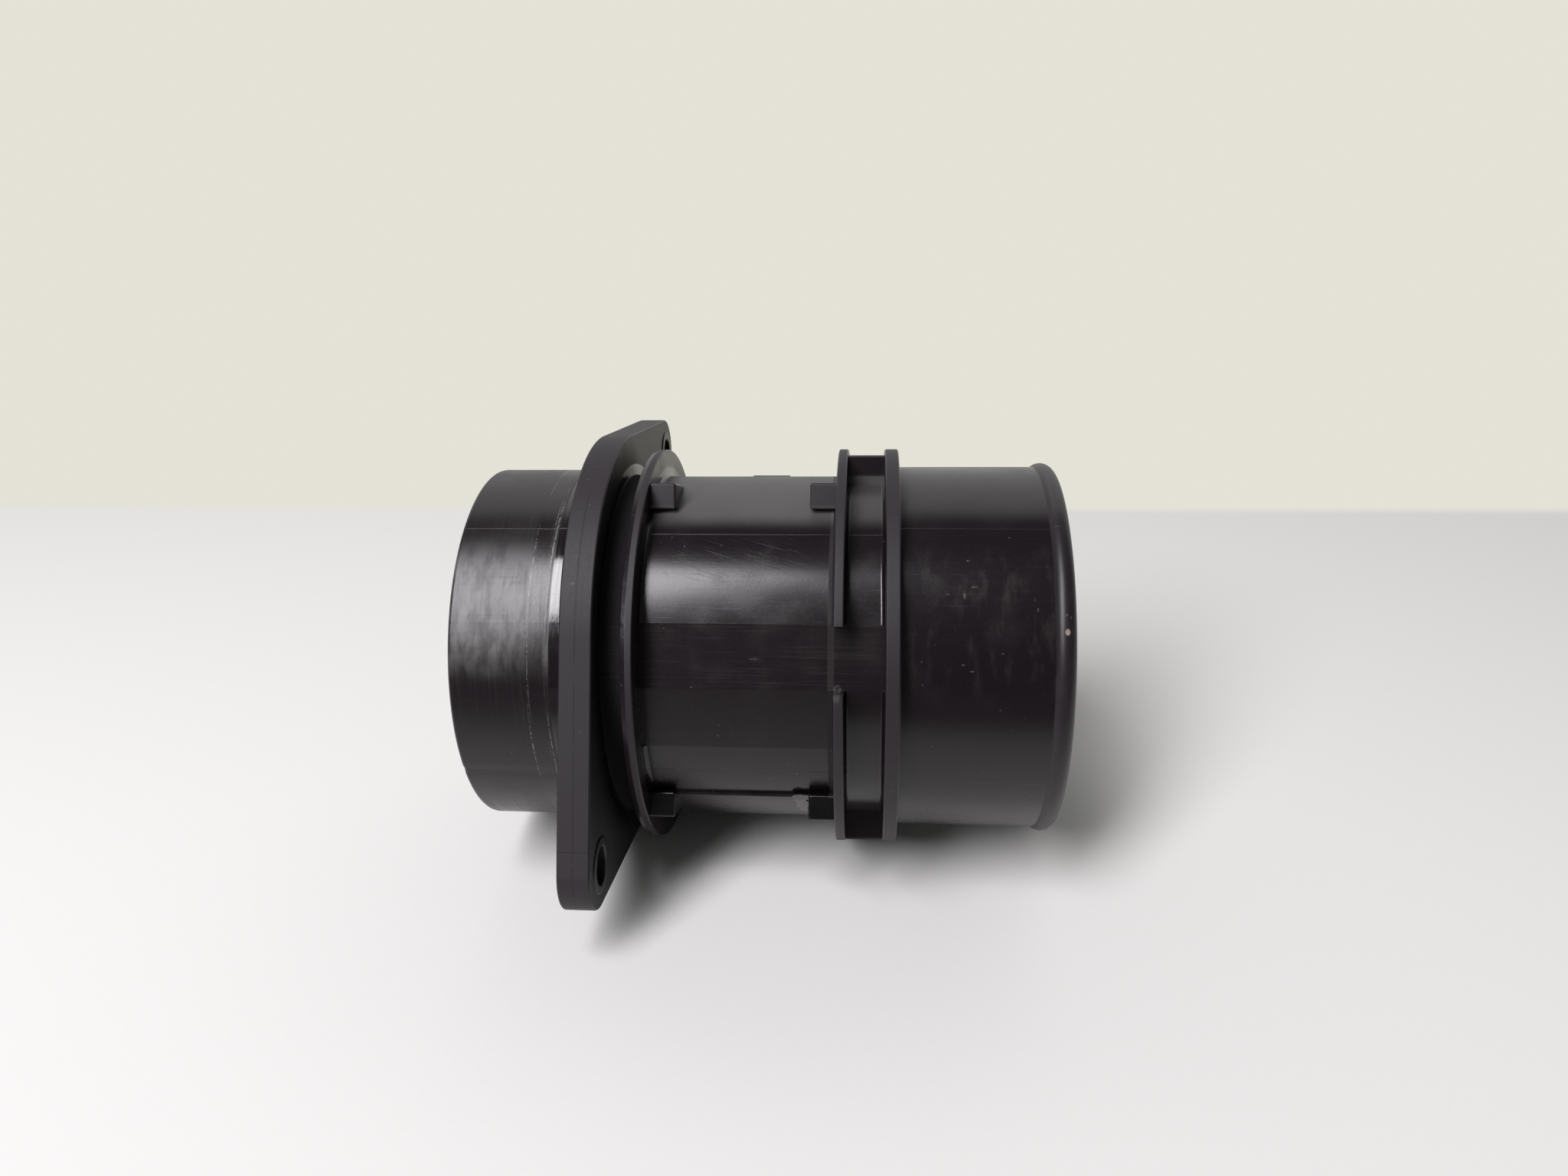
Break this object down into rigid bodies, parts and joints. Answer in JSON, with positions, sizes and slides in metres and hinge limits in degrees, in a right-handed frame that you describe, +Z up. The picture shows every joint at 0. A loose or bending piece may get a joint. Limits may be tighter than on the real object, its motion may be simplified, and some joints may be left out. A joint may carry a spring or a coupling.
{
  "type": "mass airflow sensor",
  "caption": "Moulded air duct with a diagonal two-ear flange, a beaded hose end, stop rings and a screwed-on hot-film sensor with connector socket.",
  "frame": {"origin": "on the duct's axis, in the flange face that seats on the air box", "axes": "+X along the duct with the air, towards the hose end; +Z up as the meter lies on a bench; the sensor module points to +Y and down"},
  "size_m": [0.1172, 0.1215, 0.0861],
  "materials": {
    "duct_plastic": "glass-filled black moulding, satin",
    "housing_plastic": "black moulding, fine texture",
    "cover_plastic": "black moulding, smooth",
    "grid_plastic": "black moulding",
    "bush_steel": "dark passivated steel",
    "screen_frame": "plain sheet",
    "screen_wire": "bright stainless wire",
    "retainer_steel": "spring steel",
    "seal_rubber": "plain black rubber",
    "screw_steel": "zinc-plated",
    "pin_metal": "tinned",
    "board_laminate": "green solder mask",
    "chip_resin": "moulded resin",
    "capacitor_ceramic": "ceramic with tinned ends",
    "resistor_ceramic": "dark glaze",
    "carrier_ceramic": "fired ceramic",
    "film_glass": "polished silicon",
    "bead_glass": "dark glass bead",
    "lead_wire": "tinned wire",
    "vent_membrane": "porous white membrane"
  },
  "bodies": {
    "root": {"duct_body": "duct_plastic", "flange_bushes": "bush_steel", "inlet_grid": "grid_plastic", "screen_ring": "screen_frame", "screen_weft_wires": "screen_wire", "screen_warp_wires": "screen_wire", "grid_retainer": "retainer_steel", "sensor_housing": "housing_plastic", "housing_cover": "cover_plastic", "housing_seal": "seal_rubber", "sensor_screws": "screw_steel", "connector_pins": "pin_metal", "circuit_board": "board_laminate", "signal_chip": "chip_resin", "supply_regulator": "chip_resin", "board_capacitors": "capacitor_ceramic", "board_resistors": "resistor_ceramic", "pin_straps": "pin_metal", "sensor_carrier": "carrier_ceramic", "hot_film_chip": "film_glass", "probe_duct_cover": "cover_plastic", "thermistor_bead": "bead_glass", "thermistor_leads": "lead_wire", "vent_plug": "vent_membrane"}
  },
  "joints": []
}
